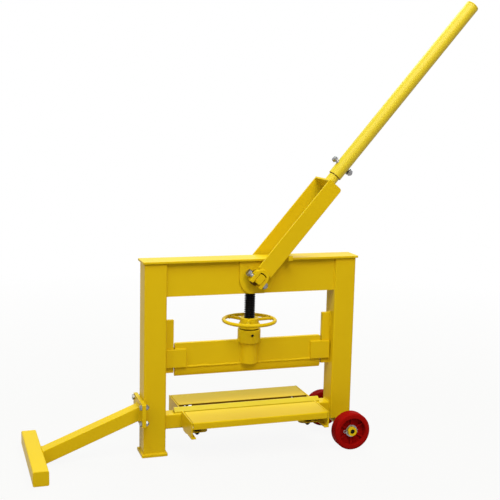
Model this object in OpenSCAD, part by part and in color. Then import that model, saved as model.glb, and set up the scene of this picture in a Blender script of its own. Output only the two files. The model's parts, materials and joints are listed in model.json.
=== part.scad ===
// Masonry block splitter: a welded frame on two wheels with a bolted stabiliser.
// A hand lever turns an eccentric shaft in the top beam. The eccentric pushes a yoke and
// screw down, and the screw carries the upper blade, whose height a handwheel nut sets.
// X runs along the frame, Y across it, and Z up from the ground.

/* [Frame] */
// Width over the two posts
frame_w = 596; // [480:1:700]
// Side of the square post tube
post_side = 60; // [54:1:66]
// Wall of the post tube
post_wall = 4; // [3:0.5:6]
// Outer corner radius of the square tubes
tube_corner = 4; // [2:0.5:5]
// Height of the post tops above the ground
post_top = 523; // [505:1:550]
// Thickness of the cap plate
cap_t = 6; // [4:0.5:10]
// Overhang of the cap plate beyond the posts
cap_overhang = 5; // [2:0.5:7]
// Height of the beam plates
beam_h = 90; // [84:1:100]
// Thickness of a beam plate
beam_t = 6; // [4:0.5:8]
// Clear distance between the two beam plates
beam_gap = 34; // [32:1:38]
// Thickness of the foot plate under the left post
foot_plate_t = 8; // [5:0.5:12]
// Overhang of the foot plate beyond the post
foot_plate_overhang = 5; // [2:0.5:12]

/* [Eccentric] */
// Diameter of the eccentric shaft
shaft_d = 28; // [24:1:32]
// Distance from the shaft's axis to the middle of the eccentric
throw = 12; // [9:0.5:14]
// Least wall of the eccentric beside the shaft
cam_wall = 4; // [3:0.5:6]
// Width of the eccentric
cam_w = 27; // [22:0.5:27]
// Play between the eccentric and the yoke
cam_play = 0.8; // [0.7:0.05:1.2]
// Angle that the lever sweeps
lever_travel = 105; // [90:1:110]
// Wall of the shaft bushes
bush_wall = 4; // [3:0.5:6]
// Width of the bush flange beyond the bush
bush_lip = 5; // [3:0.5:8]
// Thickness of the bush flange
bush_lip_t = 3; // [2:0.5:4]
// Thickness of the bearing plates outside the beam
bearing_t = 5; // [3:0.5:7]
// Radius of the rounded end of the bearing plates
bearing_r = 49; // [46:0.5:54]

/* [Lever] */
// Angle of the resting lever above the ground
lever_angle = 49.9; // [44:0.1:56]
// Width across the flats on the shaft's ends
flat_w = 18; // [16:0.5:20]
// Outer width of the saddles on the shaft's ends
saddle_w = 40; // [37:0.5:42]
// Depth of the saddles along the shaft
saddle_depth = 26; // [23:0.5:30]
// Reach of the saddle legs past the shaft's axis
saddle_leg = 20; // [18:0.5:24]
// Thickness of the saddle's crown
saddle_crown = 9; // [8:0.5:12]
// Radius of the arched end of the saddle's slot
slot_r = 24; // [20:0.5:30]
// Setback of a fork arm from the saddle's outer face
arm_setback = 5.5; // [3:0.5:8]
// Width of the fork arms
arm_w = 46; // [43:0.5:50]
// Thickness of the fork arms
arm_t = 6; // [4:0.5:8]
// Radius of the fork arms' lower outer corner
arm_corner = 8; // [4:0.5:12]
// Distance from the shaft's axis to the end of the fork
fork_l = 328; // [300:1:360]
// Thickness of the plate that closes the fork
end_plate_t = 6; // [4:0.5:10]
// Outer diameter of the stub that the handle slips over
stub_d = 31; // [29:0.5:31.5]
// Wall of the stub
stub_wall = 4; // [3:0.5:6]
// Length of the stub
stub_l = 110; // [80:1:140]
// Outer diameter of the handle
handle_d = 38; // [38:0.5:42]
// Wall of the handle
handle_wall = 3; // [2:0.1:3]
// Bare length of stub below the handle
handle_gap = 26.5; // [15:0.5:35]
// Length of the handle with its end cap
handle_l = 621.5; // [560:0.5:680]
// Thickness of the handle's end cap
handle_cap_t = 4; // [2:0.5:6]
// Distance of the handle bolt from the handle's lower end
handle_bolt_up = 34; // [25:0.5:45]
// Distance that the handle bolt's head stands off the tube
handle_head_gap = 8; // [2:0.5:12]
// Distance of a saddle bolt's head from the saddle
saddle_head_gap = 9; // [0:0.5:10]
// Distance that the handle bolt's nut stands off the tube
handle_nut_gap = 3; // [1:0.5:6]
// Width of a lever stop along the frame
stop_w = 12; // [8:0.5:16]
// Height of a lever stop
stop_h = 14; // [10:0.5:20]

/* [Screw and handwheel] */
// Diameter of the lifting screw
screw_d = 30; // [24:1:30]
// Length of the screw below the eccentric
screw_l = 160; // [150:1:168]
// Side wall of the yoke
yoke_side = 8; // [6:0.5:12]
// Top wall of the yoke
yoke_top = 5; // [4:0.5:8]
// Bottom wall of the yoke
yoke_base = 14; // [10:0.5:18]
// Depth of the yoke across the frame
yoke_depth = 28; // [24:0.5:30]
// Outer diameter of the handwheel
handwheel_d = 151; // [130:1:170]
// Diameter of the handwheel's round bar
rim_bar_d = 10; // [8:0.5:13]
// Diameter of the spokes
spoke_d = 9; // [6:0.5:9]
// Turn of the spokes from the frame's long side
spoke_turn = 8; // [0:1:30]
// Diameter of the handwheel's hub
hub_d = 52; // [46:0.5:56]
// Height of the hub
hub_h = 15.5; // [12:0.5:20]
// Wall of the nut above its flange
nut_wall = 5; // [4:0.5:7]
// Diameter of the nut's flange
nut_flange_d = 58; // [54:0.5:62]
// Height of the nut's flange
nut_flange_h = 16; // [10:0.5:20]
// Diameter of the nut's shoulder on the collar
nut_shoulder_d = 50; // [48:0.5:53]
// Height of the nut's shoulder
nut_shoulder_h = 3; // [1:0.5:4]
// Diameter of the nut's spigot in the collar
nut_spigot_d = 44; // [42:0.5:47]
// Length of the nut's spigot
nut_spigot_l = 28; // [25:0.5:32]
// Depth of the groove for the grub screws
groove_depth = 2.2; // [1.5:0.1:3]
// Diameter of a grub screw
grub_d = 8; // [6:0.5:9]
// Height of the grub screws above the foot of the collar
grub_up = 22; // [19:0.5:24]

/* [Upper blade] */
// Thickness of the upper blade
blade_t = 12; // [10:0.5:16]
// Resting height of the upper cutting edge above the ground
blade_edge_z = 211; // [200:1:220]
// Height of the cutting strip
strip_h = 25; // [20:0.5:30]
// Height of the strip's bevel
bevel_h = 10; // [6:0.5:14]
// Width of the blunt cutting edge
edge_w = 2; // [1:0.1:3]
// Height of the holder plates above the strip
holder_h = 66; // [62:0.5:75]
// Radius of the holder plates' top corners
holder_corner = 5; // [2:0.5:10]
// Outer diameter of the sleeve
sleeve_d = 51; // [48:0.5:54]
// Wall of the sleeve
sleeve_wall = 8; // [6:0.5:9]
// Height of the sleeve
sleeve_h = 59; // [56:0.5:62]
// Outer diameter of the collar
collar_d = 63; // [59:0.5:68]
// Height of the collar
collar_h = 35; // [32:0.5:40]
// Length of lug that overlaps the blade
lug_overlap = 31; // [20:0.5:45]
// Height of the lugs
lug_h = 49; // [40:0.5:58]
// Thickness of the lugs
lug_t = 8; // [5:0.5:10]
// Gap between a lug and the post
lug_end_gap = 3; // [2:0.5:5]
// Gap between the blade's end and the guide bar
guide_gap = 3; // [2:0.5:5]
// Width of the guide bars
guide_bar_w = 25; // [16:0.5:30]
// Length of the guide bars
guide_bar_l = 145; // [130:1:160]
// Height of the guide bars' foot above the ground
guide_bar_z = 221; // [212:1:235]

/* [Lower blade and tables] */
// Side of the square lower beam
lower_beam_side = 40; // [36:0.5:44]
// Wall of the lower beam
lower_beam_wall = 4; // [3:0.5:6]
// Height of the lower beam's underside above the ground
lower_beam_z = 70; // [66:0.5:76]
// Width of the lower blade's foot
lower_blade_w = 24; // [16:0.5:28]
// Height of the lower blade's straight foot
lower_blade_foot = 4; // [2:0.5:6]
// Height of the lower blade
lower_blade_h = 13; // [11:0.5:16]
// Height of the tables above the lower beam
table_rise = 8; // [6:0.5:10]
// Distance from a post to the outer face of the table arms
table_arm_gap = 45; // [20:0.5:60]
// Distance from the middle plane to a table's outer face
table_reach = 126; // [110:1:145]
// Open slot between a table and the lower beam
table_slot = 12; // [6:0.5:16]
// Thickness of the table's folded sheet
sheet_t = 3; // [2.5:0.5:5]
// Height of the table's outer lip
lip_h = 18; // [14:0.5:24]
// Height of the table's inner lip
inner_lip_h = 14; // [10:0.5:18]
// Width of the inner lip's left notch
left_notch_w = 23; // [14:0.5:30]
// Distance of the left notch's middle from the arm's outer face
left_notch_inset = 31; // [26:0.5:40]
// Width of the inner lip's right notch
right_notch_w = 12; // [8:0.5:24]
// Distance of the right notch's middle from the arm's outer face
right_notch_inset = 46; // [40:0.5:60]
// Height of the table arms
table_arm_h = 44; // [40:0.5:48]
// Width of the table arms' bottom flange
table_arm_foot = 13; // [9:0.5:16]
// Thickness of the table arms
table_arm_t = 4; // [3:0.5:5]
// Gap between a table and its arms
table_gap = 1; // [0.5:0.1:2]
// Travel of a sprung table
table_travel = 10; // [6:0.5:12]
// Distance of the table bolts from the middle plane
table_bolt_y = 55; // [48:0.5:80]
// Distance of the table bolts from the arm's outer face
table_bolt_inset = 34.5; // [30:0.5:45]
// Length of a spring seat
seat_l = 62; // [52:0.5:75]
// Width of a spring seat
seat_w = 30; // [24:0.5:36]
// Thickness of a spring seat
seat_t = 3; // [2.5:0.5:6]
// Wire diameter of the springs
spring_wire = 2.2; // [1.6:0.1:2.6]
// Mean diameter of the springs
spring_d = 18; // [15:0.5:22]
// Turns of a spring
spring_turns = 6; // [4:1:8]

/* [Stabiliser] */
// Height of the flange plates' middle above the ground
flange_z = 123; // [115:0.5:130]
// Width of the flange plates across the frame
flange_w = 118; // [110:1:130]
// Height of the flange plates
flange_h = 64; // [58:0.5:75]
// Thickness of a flange plate
flange_t = 5; // [4:0.5:8]
// Spacing of the flange bolts across the frame
flange_bolt_y = 98; // [92:1:100]
// Vertical spacing of the flange bolts
flange_bolt_z = 44; // [40:0.5:46]
// Width of the leg tube
leg_w = 40; // [34:0.5:46]
// Height of the leg tube's section
leg_h = 35; // [30:0.5:40]
// Wall of the leg and the foot bar
leg_wall = 3; // [2:0.25:4]
// Level distance from the flange to the foot bar
leg_span = 252; // [220:1:300]
// Height of the leg's middle at the flange
leg_top_z = 119; // [110:0.5:126]
// Height of the leg's middle at the foot bar
leg_foot_z = 20; // [20:0.25:22]
// Width of the foot bar
foot_bar_w = 40; // [35:0.5:50]
// Height of the foot bar
foot_bar_h = 38; // [36:0.5:45]
// Length of the foot bar with its end caps
foot_bar_l = 310; // [280:1:360]
// Thickness of the foot bar's end caps
foot_cap_t = 3; // [2:0.5:5]

/* [Wheels] */
// Diameter of the wheels
wheel_d = 104; // [96:1:108]
// Width of the wheels
wheel_w = 35; // [30:0.5:42]
// Distance from the middle plane to a wheel's inner face
wheel_y = 85; // [80:0.5:95]
// Thickness of the tread
tread_t = 13.5; // [10:0.5:16]
// Radius of the tread's corners
tread_corner = 6.5; // [4:0.5:8]
// Depth of the dished inner face
inner_dish = 8; // [5:0.5:10]
// Depth of the dished outer face
outer_dish = 15; // [12:0.5:17]
// Height of the hub above the outer dish
wheel_hub_h = 3; // [1:0.5:5]
// Wall of the wheel's hub
wheel_hub_wall = 5; // [4:0.5:8]
// Thickness of the ribs in the outer dish
rib_t = 5; // [3:0.5:7]
// Height of the ribs at the tread
rib_h = 7; // [4:0.5:9]
// Diameter of the hollow axle
axle_d = 25; // [22:0.5:27]
// Bore of the axle
axle_bore = 13; // [9:0.5:16]
// Length of axle beyond the split pin's middle
axle_end = 5.5; // [4:0.5:9]
// Width of the axle washers beyond the axle
washer_lip = 4.5; // [3:0.5:6]
// Thickness of the axle washers
axle_washer_t = 2.5; // [2:0.5:4]
// Diameter of the split pins
pin_d = 4; // [3:0.5:5]
// Length that a split pin stands out of the axle on each side
pin_out = 6; // [4:0.5:9]

/* [Fasteners and fits] */
// Diameter of the lever bolts
lever_bolt_d = 10; // [8:0.5:10]
// Width across flats of the lever bolts
lever_bolt_af = 16; // [15:0.5:17]
// Height of a lever bolt's head
lever_head_h = 6.4; // [5:0.1:8]
// Height of a lever nut
lever_nut_h = 8; // [6:0.5:10]
// Diameter of the washer face under the lever bolts' heads and nuts
lever_washer_d = 20; // [18:0.5:22]
// Thickness of that washer face
lever_washer_t = 2.5; // [1.5:0.1:3]
// Distance of the saddle bolts below the shaft's axis
saddle_bolt_drop = 5; // [3:0.5:7]
// Diameter of the flange and table bolts
small_bolt_d = 8; // [6:0.5:8]
// Width across flats of the flange and table bolts
small_bolt_af = 13; // [12:0.5:14]
// Height of a flange bolt's head
small_head_h = 5.3; // [4:0.1:6.5]
// Height of a flange or table nut
small_nut_h = 6.5; // [5:0.1:8]
// Length of thread that stands out of a nut
thread_out = 3; // [2:0.5:5]
// Radial clearance of a bolt in its hole
bolt_fit = 0.2; // [0.1:0.05:0.4]
// Radial clearance of a shaft that turns or slides in its bore
run_fit = 0.08; // [0.03:0.01:0.1]
// Clearance between pieces that slide past each other
slide_fit = 0.3; // [0.25:0.05:0.5]
// Clearance between welded or seated pieces
seat_fit = 0.1; // [0.05:0.05:0.2]
// Clearance of the saddle's slot beside the shaft's flats
slot_gap = 1.6; // [0.2:0.1:2]
// Clearance of the saddle's slot at the shaft's crown
crown_gap = 3.25; // [1:0.25:4]

/* [Hidden] */
$fn = 64;

// Finishes
paint = [0.82, 0.69, 0.10];
zinc = [0.72, 0.72, 0.74];
black_steel = [0.10, 0.10, 0.11];
red_tyre = [0.62, 0.08, 0.08];
bare_steel = [0.55, 0.55, 0.57];

// Frame: where the posts, the beam and the cap stand
front = -1;
rear = 1;
left = -1;
right = 1;
post_x = (frame_w - post_side) / 2;
inner_x = frame_w / 2 - post_side;
blade_l = 2 * (inner_x - guide_bar_w - guide_gap);
outer_x = frame_w / 2;
beam_z = post_top - beam_h;
plate_y = beam_gap / 2;
bearing_y = plate_y + beam_t;
bush_y = bearing_y + bearing_t;
cap_y = post_side / 2 + cap_overhang;
plate_corner = 3;
cut = 1;

// Eccentric: the shaft hangs so that the yoke just clears the cap when the lever rests,
// and it stands beside the screw so that the eccentric swings evenly about the screw
half_travel = lever_travel / 2;
cam_r = throw + shaft_d / 2 + cam_wall;
cam_rest = 180 - half_travel;
yoke_gap = 0.7;
window_top = post_top - yoke_gap - yoke_top;
cam_z = window_top - cam_play - cam_r;
shaft_z = cam_z - throw * sin(cam_rest);
shaft_x = throw * (1 + cos(half_travel)) / 2;
cam_sway = throw * (1 - cos(half_travel)) / 2;
window_z = cam_z - cam_r - cam_play;
window_w = 2 * (cam_r + cam_sway + cam_play);
bush_d = shaft_d + 2 * bush_wall;

// Lever: distances are measured along it from the shaft's axis
saddle_in = bush_y + bush_lip_t + slide_fit;
saddle_out = saddle_in + saddle_depth;
saddle_mid = saddle_in + saddle_depth / 2;
shaft_half = saddle_out + 2;
slot_top = shaft_d / 2 + crown_gap;
crown_top = slot_top + saddle_crown;
crown_c = crown_top - saddle_w / 2;
arm_out = saddle_out - arm_setback;
arm_in = arm_out - arm_t;
arm_start = crown_top - saddle_crown / 2;
handle_start = fork_l + handle_gap;
handle_end = handle_start + handle_l;
handle_bolt_u = handle_start + handle_bolt_up;
stop_top = post_top + stop_h;
stop_u = (stop_top - shaft_z + arm_w / 2 * cos(lever_angle)) / sin(lever_angle);
stop_x = shaft_x + stop_u * cos(lever_angle) + (arm_w / 2 + slide_fit) * sin(lever_angle);

// Upper blade, nut and handwheel: stacked on the cutting edge
strip_top = blade_edge_z + strip_h;
holder_top = strip_top + holder_h;
collar_z = strip_top + sleeve_h;
collar_top = collar_z + collar_h;
grub_z = collar_z + grub_up;
nut_z = collar_top + slide_fit - nut_spigot_l;
nut_flange_z = collar_top + slide_fit;
hub_z = nut_flange_z + nut_flange_h;
hub_top = hub_z + hub_h;
nut_bore_d = screw_d + 2 * run_fit;
nut_neck_d = nut_bore_d + 2 * nut_wall;
groove_r = nut_spigot_d / 2 - groove_depth;
grub_tip_r = groove_r + slide_fit;
grub_tail_r = collar_d / 2 - 3;
rim_r = (handwheel_d - rim_bar_d) / 2;
rim_z = hub_z + hub_h / 2;
screw_z = window_z - screw_l;
guide_bar_t = blade_t - 2 * slide_fit;
lug_z = strip_top + 1;

// Lower blade and tables
lower_beam_top = lower_beam_z + lower_beam_side;
beam_side_y = lower_beam_side / 2;
table_top = lower_beam_top + table_rise;
table_under = table_top - sheet_t;
table_in = beam_side_y + table_slot;
arm_x = inner_x - table_arm_gap;
table_x = arm_x - table_arm_t - table_gap;
arm_z = table_top - table_arm_h;
table_bolt_x = arm_x - table_bolt_inset;
left_notch_x = left_notch_inset - arm_x;
right_notch_x = arm_x - right_notch_inset;
spring_h = table_under - arm_z;
table_nut_z = arm_z - seat_t - slide_fit - small_nut_h;
table_bolt_end = table_nut_z - thread_out;

// Stabiliser
flange_x = -outer_x - flange_t;
leg_x = flange_x - flange_t;
foot_bar_x = leg_x - leg_span;
leg_slope = atan2(leg_top_z - leg_foot_z, leg_span);

// Wheels
wheel_r = wheel_d / 2;
right_post_z = wheel_r + axle_d / 2 + seat_fit;
wheel_bore_r = axle_d / 2 + run_fit;
wheel_hub_face = wheel_y + wheel_w - outer_dish + wheel_hub_h;
outer_washer_y = wheel_hub_face + slide_fit;
pin_y = outer_washer_y + axle_washer_t + seat_fit + pin_d / 2;
axle_half = pin_y + axle_end;

// The origin lies on the ground under the middle of the whole machine
reach_left = foot_bar_x - foot_bar_w;
reach_right = shaft_x + handle_end * cos(lever_angle) + handle_d / 2 * sin(lever_angle);
mid_x = (reach_left + reach_right) / 2;

// Spring coil: points along the wire's middle line
spring_steps = 8;
spring_sides = 6;
spring_rings = spring_turns * spring_steps;
spring_rise = spring_h - spring_wire - 2 * seat_fit;
function coil_angle(i) = 360 * i / spring_steps;
function coil_z(i) = spring_wire / 2 + seat_fit + spring_rise * i / spring_rings;
function coil_point(i) =
    [spring_d / 2 * cos(coil_angle(i)), spring_d / 2 * sin(coil_angle(i)), coil_z(i)];
function wire_point(i, k) =
    let (a = coil_angle(i), b = 360 * k / spring_sides)
    coil_point(i) + spring_wire / 2 * (cos(b) * [cos(a), sin(a), 0] + sin(b) * [0, 0, 1]);
function wire_index(i, k) = i * spring_sides + k % spring_sides;
coil_gap = min([for (i = [0 : spring_rings], j = [i + spring_steps / 2 : spring_rings])
    norm(coil_point(i) - coil_point(j))]) - spring_wire;
echo(least_gap_between_spring_turns = coil_gap);

// Shared shapes
module place() {
    translate([-mid_x, 0, 0]) children();
}

module on_lever() {
    translate([shaft_x, 0, shaft_z]) rotate([0, -lever_angle, 0]) children();
}

module along_x(x0, x1) {
    translate([x0, 0, 0]) rotate([90, 0, 90]) linear_extrude(x1 - x0) children();
}

module along_y(y0, y1) {
    translate([0, y1, 0]) rotate([90, 0, 0]) linear_extrude(y1 - y0) children();
}

module both_sides() {
    children();
    mirror([0, 1, 0]) children();
}

module on_side(side) {
    mirror([0, side == front ? 1 : 0, 0]) children();
}

module at_end(end) {
    mirror([end == left ? 1 : 0, 0, 0]) children();
}

module rounded_rect(w, h, r) {
    square([w - 2 * r, h], center = true);
    square([w, h - 2 * r], center = true);
    for (sx = [-1, 1], sy = [-1, 1])
        translate([sx * (w / 2 - r), sy * (h / 2 - r)]) circle(r = r);
}

module tube_section(w, h, wall) {
    difference() {
        rounded_rect(w, h, tube_corner);
        square([w - 2 * wall, h - 2 * wall], center = true);
    }
}

module ring(outer_d, bore_d, h) {
    difference() {
        cylinder(d = outer_d, h = h);
        translate([0, 0, -cut]) cylinder(d = bore_d, h = h + 2 * cut);
    }
}

module hexagon(af, h) {
    cylinder(d = af / cos(30), h = h, $fn = 6);
}

module lever_bolt(grip) {
    translate([0, 0, lever_washer_t]) hexagon(lever_bolt_af, lever_head_h);
    cylinder(d = lever_washer_d, h = lever_washer_t);
    shank = grip + lever_washer_t + lever_nut_h + thread_out;
    translate([0, 0, -shank]) cylinder(d = lever_bolt_d, h = shank + cut);
}

module lever_nut() {
    difference() {
        union() {
            translate([0, 0, lever_washer_t]) hexagon(lever_bolt_af, lever_nut_h);
            cylinder(d = lever_washer_d, h = lever_washer_t);
        }
        translate([0, 0, -cut])
            cylinder(d = lever_bolt_d + 2 * seat_fit, h = lever_nut_h + lever_washer_t + 2 * cut);
    }
}

module small_nut() {
    difference() {
        hexagon(small_bolt_af, small_nut_h);
        translate([0, 0, -cut]) cylinder(d = small_bolt_d + 2 * seat_fit, h = small_nut_h + 2 * cut);
    }
}

// Frame
module left_post() {
    color(paint) translate([-post_x, 0, foot_plate_t])
        linear_extrude(post_top - foot_plate_t) tube_section(post_side, post_side, post_wall);
}

module right_post() {
    color(paint) translate([post_x, 0, right_post_z])
        linear_extrude(post_top - right_post_z) tube_section(post_side, post_side, post_wall);
}

module left_foot_plate() {
    side = post_side + 2 * foot_plate_overhang;
    color(paint) translate([-post_x, 0, 0]) linear_extrude(foot_plate_t) rounded_rect(side, side, plate_corner);
}

module cap_plate() {
    color(paint) translate([0, 0, post_top])
        linear_extrude(cap_t) rounded_rect(frame_w + 2 * cap_overhang, 2 * cap_y, plate_corner);
}

module bush_hole() {
    translate([shaft_x, shaft_z]) circle(d = bush_d + 2 * seat_fit);
}

module beam_plate(side) {
    color(paint) on_side(side) along_y(plate_y, plate_y + beam_t) difference() {
        translate([-inner_x, beam_z]) square([2 * inner_x, beam_h]);
        bush_hole();
    }
}

module front_beam_plate() {
    beam_plate(front);
}

module rear_beam_plate() {
    beam_plate(rear);
}

module bearing_plate(side) {
    color(paint) on_side(side) along_y(bearing_y, bush_y) difference() {
        intersection() {
            union() {
                translate([shaft_x, shaft_z]) circle(r = bearing_r);
                translate([shaft_x - bearing_r, shaft_z]) square([2 * bearing_r, post_top - shaft_z]);
            }
            translate([shaft_x - bearing_r, beam_z]) square([2 * bearing_r, beam_h]);
        }
        bush_hole();
    }
}

module front_bearing_plate() {
    bearing_plate(front);
}

module rear_bearing_plate() {
    bearing_plate(rear);
}

module shaft_bushes() {
    bore_d = shaft_d + 2 * run_fit;
    color(paint) both_sides() translate([shaft_x, 0, shaft_z]) {
        along_y(plate_y, bush_y + bush_lip_t) difference() {
            circle(d = bush_d);
            circle(d = bore_d);
        }
        along_y(bush_y, bush_y + bush_lip_t) difference() {
            circle(d = bush_d + 2 * bush_lip);
            circle(d = bore_d);
        }
    }
}

module lever_stops() {
    color(paint) both_sides() translate([stop_x, cap_y, post_top]) cube([stop_w, arm_out - cap_y, stop_h]);
}

module guide_bar(end) {
    color(paint) at_end(end) translate([inner_x - guide_bar_w, -guide_bar_t / 2, guide_bar_z])
        cube([guide_bar_w, guide_bar_t, guide_bar_l]);
}

module left_guide_bar() {
    guide_bar(left);
}

module right_guide_bar() {
    guide_bar(right);
}

module lower_beam() {
    color(paint) along_x(-inner_x, inner_x) translate([0, lower_beam_z + lower_beam_side / 2])
        tube_section(lower_beam_side, lower_beam_side, lower_beam_wall);
}

module lower_blade() {
    color(paint) along_x(-blade_l / 2, blade_l / 2) translate([0, lower_beam_top]) polygon([
        [-lower_blade_w / 2, 0],
        [lower_blade_w / 2, 0],
        [lower_blade_w / 2, lower_blade_foot],
        [edge_w / 2, lower_blade_h],
        [-edge_w / 2, lower_blade_h],
        [-lower_blade_w / 2, lower_blade_foot]
    ]);
}

module table_arms(end) {
    color(paint) at_end(end) both_sides() along_y(beam_side_y, table_reach) {
        translate([arm_x - table_arm_t, arm_z]) square([table_arm_t, table_arm_h]);
        translate([arm_x - table_arm_foot, arm_z]) square([table_arm_foot, table_arm_t]);
    }
}

module left_table_arms() {
    table_arms(left);
}

module right_table_arms() {
    table_arms(right);
}

module spring_seats() {
    straight = seat_l - seat_w / 2;
    color(paint) for (end = [left, right]) at_end(end) both_sides()
        translate([arm_x, table_bolt_y, arm_z - seat_t]) linear_extrude(seat_t) difference() {
            union() {
                translate([-straight, -seat_w / 2]) square([straight, seat_w]);
                translate([-straight, 0]) circle(d = seat_w);
            }
            translate([-table_bolt_inset, 0]) circle(d = small_bolt_d + 2 * slide_fit);
        }
}

// Stabiliser
module flange_corners() {
    for (sy = [-1, 1], sz = [-1, 1])
        translate([sy * flange_bolt_y / 2, flange_z + sz * flange_bolt_z / 2]) children();
}

module flange_plate(x) {
    color(paint) along_x(x, x + flange_t) difference() {
        translate([0, flange_z]) rounded_rect(flange_w, flange_h, plate_corner);
        flange_corners() circle(d = small_bolt_d + 2 * bolt_fit);
    }
}

module post_flange() {
    flange_plate(flange_x);
}

module leg_flange() {
    flange_plate(leg_x);
}

module leg_outline(h, past) {
    rise = past * tan(leg_slope);
    half = h / 2 / cos(leg_slope);
    polygon([
        [foot_bar_x - past, leg_foot_z - rise - half],
        [leg_x + past, leg_top_z + rise - half],
        [leg_x + past, leg_top_z + rise + half],
        [foot_bar_x - past, leg_foot_z - rise + half]
    ]);
}

module leg_tube() {
    bore_w = leg_w - 2 * leg_wall;
    color(paint) difference() {
        along_y(-leg_w / 2, leg_w / 2) leg_outline(leg_h, 0);
        along_y(-bore_w / 2, bore_w / 2) leg_outline(leg_h - 2 * leg_wall, cut);
    }
}

module foot_bar_at() {
    translate([foot_bar_x - foot_bar_w / 2, foot_bar_h / 2]) children();
}

module foot_bar() {
    half = foot_bar_l / 2 - foot_cap_t;
    color(paint) along_y(-half, half) foot_bar_at() tube_section(foot_bar_w, foot_bar_h, leg_wall);
}

module foot_bar_caps() {
    color(paint) both_sides() along_y(foot_bar_l / 2 - foot_cap_t, foot_bar_l / 2)
        foot_bar_at() rounded_rect(foot_bar_w, foot_bar_h, tube_corner);
}

module flange_bolts() {
    shank = 2 * flange_t + small_nut_h + thread_out;
    color(zinc) along_x(leg_x, leg_x + shank) flange_corners() circle(d = small_bolt_d);
    color(zinc) for (sy = [-1, 1], sz = [-1, 1])
        translate([leg_x, sy * flange_bolt_y / 2, flange_z + sz * flange_bolt_z / 2])
            rotate([0, -90, 0]) hexagon(small_bolt_af, small_head_h);
}

module flange_nuts() {
    color(zinc) for (sy = [-1, 1], sz = [-1, 1])
        translate([-outer_x, sy * flange_bolt_y / 2, flange_z + sz * flange_bolt_z / 2])
            rotate([0, 90, 0]) small_nut();
}

// Wheels and axle
module on_axle() {
    translate([post_x, 0, wheel_r]) children();
}

module axle() {
    color(paint) on_axle() difference() {
        along_y(-axle_half, axle_half) difference() {
            circle(d = axle_d);
            circle(d = axle_bore);
        }
        for (side = [front, rear]) translate([0, side * pin_y, 0])
            rotate([0, 90, 0]) cylinder(d = pin_d + 2 * bolt_fit, h = axle_d + 2 * cut, center = true);
    }
}

module axle_washers() {
    inner_y = wheel_y - slide_fit - axle_washer_t;
    color(zinc) on_axle() both_sides() for (y = [inner_y, outer_washer_y])
        along_y(y, y + axle_washer_t) difference() {
            circle(d = axle_d + 2 * washer_lip);
            circle(d = axle_d + 2 * seat_fit);
        }
}

module split_pins() {
    reach = axle_d / 2 + pin_out;
    color(zinc) on_axle() both_sides() translate([0, pin_y, 0]) {
        rotate([0, 90, 0]) translate([0, 0, -reach]) cylinder(d = pin_d, h = 2 * reach);
        translate([-reach - pin_d / 2, 0, 0]) rotate([90, 0, 0])
            rotate_extrude() translate([pin_d, 0]) circle(d = pin_d * 0.8);
    }
}

module wheel_profile() {
    web_in = inner_dish;
    web_w = wheel_w - inner_dish - outer_dish;
    rim_in = wheel_r - tread_t;
    translate([rim_in, 0]) square([tread_t - tread_corner, wheel_w]);
    translate([wheel_r - 2 * tread_corner, tread_corner])
        square([2 * tread_corner, wheel_w - 2 * tread_corner]);
    for (y = [tread_corner, wheel_w - tread_corner])
        translate([wheel_r - tread_corner, y]) circle(r = tread_corner);
    translate([wheel_bore_r, web_in]) square([rim_in - wheel_bore_r + tread_t / 2, web_w]);
    translate([wheel_bore_r, 0]) square([wheel_hub_wall, wheel_hub_face - wheel_y]);
}

module wheel_ribs() {
    web_z = wheel_w - outer_dish;
    rib_in = wheel_bore_r + wheel_hub_wall - seat_fit;
    rib_out = wheel_r - tread_t / 2;
    for (turn = [30:60:330]) rotate([0, 0, turn]) rotate([90, 0, 0])
        translate([0, 0, -rib_t / 2]) linear_extrude(rib_t) polygon([
            [rib_in, web_z - 1],
            [rib_out, web_z - 1],
            [rib_out, web_z + rib_h],
            [rib_in, web_z + wheel_hub_h]
        ]);
}

module road_wheel(side) {
    color(red_tyre) on_axle() on_side(side) translate([0, wheel_y, 0]) rotate([-90, 0, 0]) {
        rotate_extrude() wheel_profile();
        wheel_ribs();
    }
}

module front_wheel() {
    road_wheel(front);
}

module rear_wheel() {
    road_wheel(rear);
}

// Lever
module fork_arm(side) {
    color(paint) on_side(side) on_lever() along_y(arm_in, arm_out) difference() {
        union() {
            translate([arm_start, -arm_w / 2]) square([fork_l - arm_start - arm_corner, arm_w]);
            translate([arm_start, -arm_w / 2 + arm_corner]) square([fork_l - arm_start, arm_w - arm_corner]);
            translate([fork_l - arm_corner, -arm_w / 2 + arm_corner]) circle(r = arm_corner);
        }
        translate([crown_c, 0]) circle(d = saddle_w + 2 * seat_fit);
    }
}

module front_fork_arm() {
    fork_arm(front);
}

module rear_fork_arm() {
    fork_arm(rear);
}

module fork_end_plate() {
    color(paint) on_lever() translate([fork_l - end_plate_t, -arm_in, -arm_w / 2 + arm_corner])
        cube([end_plate_t, 2 * arm_in, arm_w - arm_corner]);
}

module saddle_bolt_hole(side) {
    translate([-saddle_bolt_drop, side * saddle_mid, 0])
        cylinder(d = lever_bolt_d + 2 * bolt_fit, h = saddle_w + 2 * cut, center = true);
}

module saddle(side) {
    slot_w = flat_w + 2 * slot_gap;
    color(paint) on_lever() difference() {
        on_side(side) along_y(saddle_in, saddle_out) difference() {
            union() {
                translate([-saddle_leg, -saddle_w / 2]) square([saddle_leg + crown_c, saddle_w]);
                translate([crown_c, 0]) circle(d = saddle_w);
            }
            intersection() {
                translate([-saddle_leg - cut, -slot_w / 2]) square([saddle_leg + cut + slot_top, slot_w]);
                translate([slot_top - slot_r, 0]) circle(r = slot_r);
            }
        }
        saddle_bolt_hole(side);
    }
}

module front_saddle() {
    saddle(front);
}

module rear_saddle() {
    saddle(rear);
}

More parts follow.
